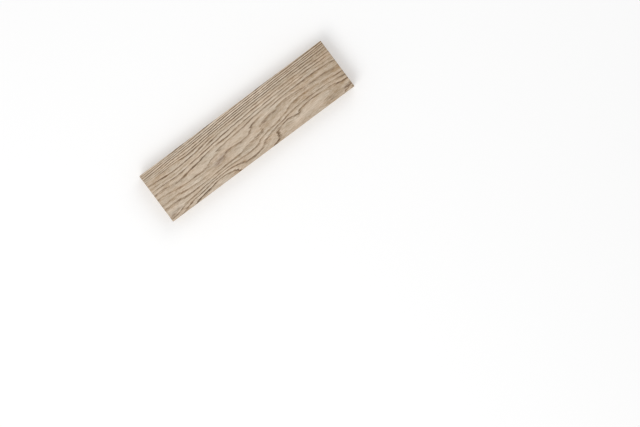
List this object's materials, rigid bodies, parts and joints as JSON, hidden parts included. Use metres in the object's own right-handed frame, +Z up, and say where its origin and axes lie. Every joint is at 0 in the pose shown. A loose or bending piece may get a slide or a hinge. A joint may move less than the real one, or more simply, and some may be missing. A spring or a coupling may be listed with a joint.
{
  "type": "parquet block",
  "caption": "Oblong solid oak parquet block for herringbone floors, with a brushed wear face, finely bevelled edges and a groove all round for loose tongues.",
  "frame": {"origin": "middle of the back, on the surface that the block lies on", "axes": "+X along the block and its grain, +Y across the grain, +Z up out of the wear face"},
  "size_m": [0.28, 0.07, 0.022],
  "materials": {
    "oak": "matte"
  },
  "bodies": {
    "root": {"parquet_block": "oak"}
  },
  "joints": []
}
